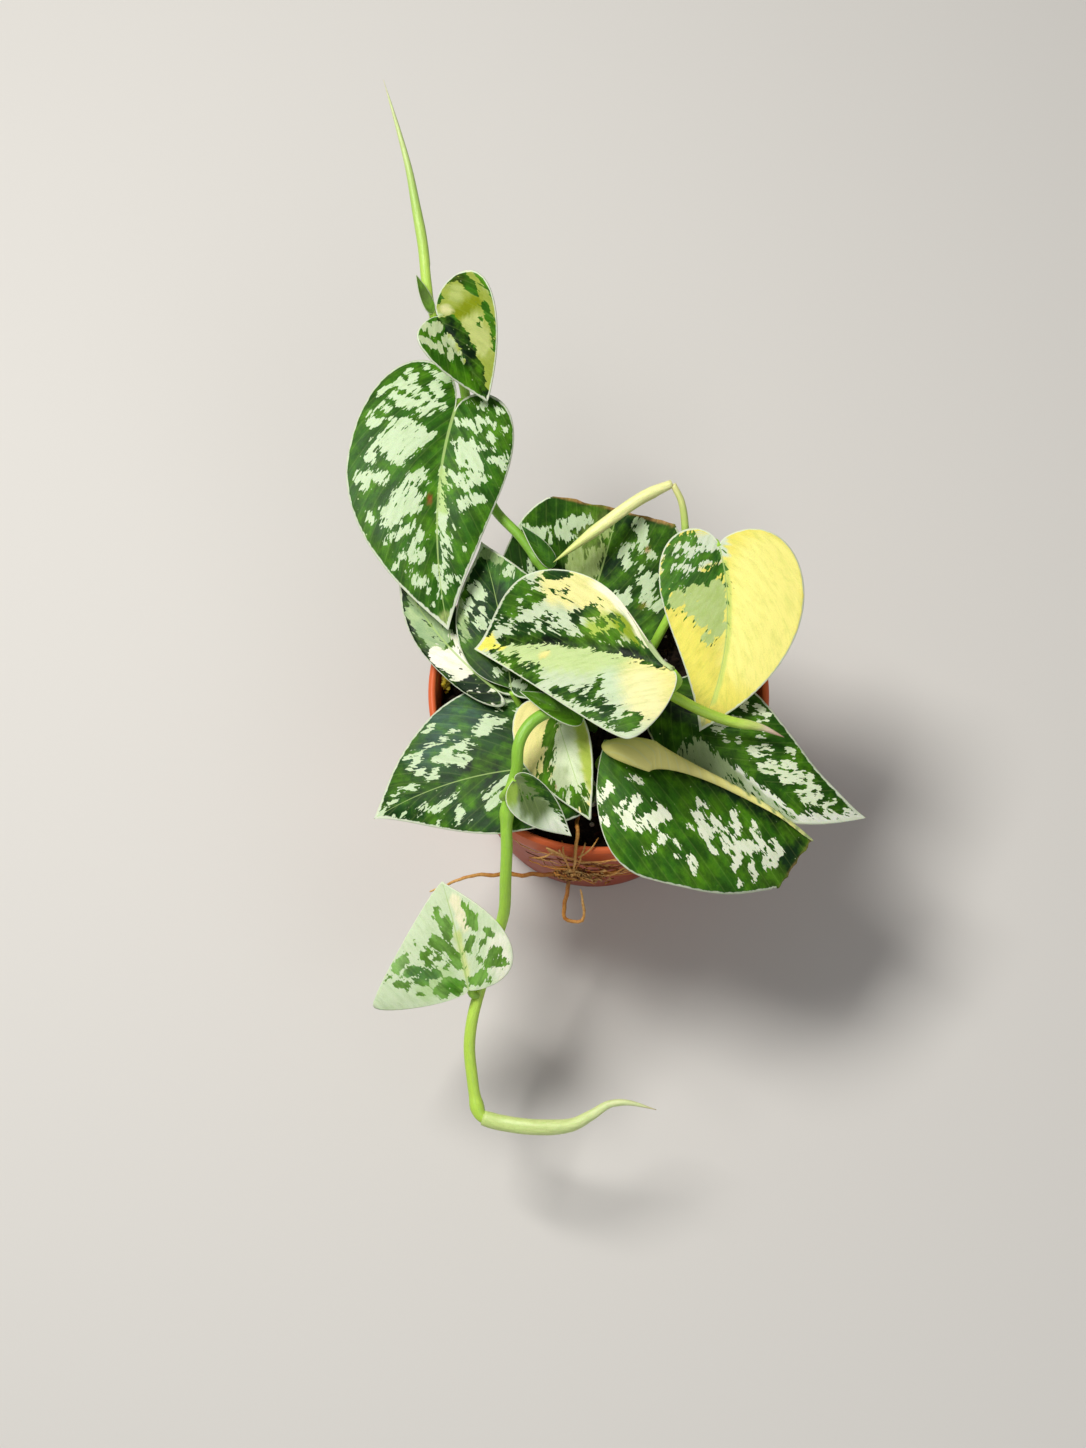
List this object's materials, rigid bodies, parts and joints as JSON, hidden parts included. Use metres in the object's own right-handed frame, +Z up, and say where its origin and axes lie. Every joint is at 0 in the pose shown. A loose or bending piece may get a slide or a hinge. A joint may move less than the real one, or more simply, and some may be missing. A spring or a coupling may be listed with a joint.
{
  "type": "potted scindapsus",
  "caption": "Trailing variegated scindapsus in a thin plastic nursery pot, with heart-shaped leaves on stalks, rolled shoots, dry sheaths and aerial roots over the rim.",
  "frame": {"origin": "centre of the pot's underside, on the surface that the pot stands on", "axes": "+Z up, -Y towards the front of the plant, where the long stem trails over the rim, +X to the right seen from the front"},
  "size_m": [0.1834, 0.3531, 0.173],
  "materials": {
    "pot": "moulded terracotta-coloured plastic, slightly satin",
    "soil": "damp dark potting mix with pale perlite grains",
    "stem": "smooth fresh green stem",
    "shoot": "pale green rolled young growth",
    "leaf_green": "dark green blade splashed with silver, with a thin pale margin",
    "leaf_cream": "cream and yellow variegated blade",
    "leaf_sage": "pale sage blade flecked with green",
    "sheath": "dry olive and brown sheath",
    "root": "dry brown aerial root"
  },
  "bodies": {
    "root": {"pot": "pot", "soil": "soil", "back_stem": "stem", "front_stem": "stem", "right_stem": "stem", "middle_stem": "stem", "back_shoot": "shoot", "front_shoot": "shoot", "rolled_leaf": "shoot", "middle_shoot": "shoot", "back_left_leaf": "leaf_green", "folded_back_leaf": "leaf_green", "centre_leaf": "leaf_cream", "yellow_leaf": "leaf_cream", "cut_leaf": "leaf_green", "under_leaf": "leaf_green", "left_rim_leaf": "leaf_sage", "front_left_leaf": "leaf_green", "cream_leaf": "leaf_cream", "small_leaf": "leaf_green", "rolled_edge_leaf": "leaf_green", "right_leaf": "leaf_green", "pale_leaf": "leaf_sage", "back_left_stalk": "stem", "centre_stalk": "stem", "yellow_stalk": "stem", "small_stalk": "stem", "pale_stalk": "stem", "cut_stalk": "stem", "under_stalk": "stem", "left_rim_stalk": "stem", "front_left_stalk": "stem", "cream_stalk": "stem", "rolled_edge_stalk": "stem", "right_stalk": "stem", "front_sheath": "sheath", "back_sheath": "sheath", "middle_sheath": "sheath", "root_knot": "root", "rim_root": "root", "long_root": "root", "hanging_root": "root", "side_root": "root"}
  },
  "joints": []
}
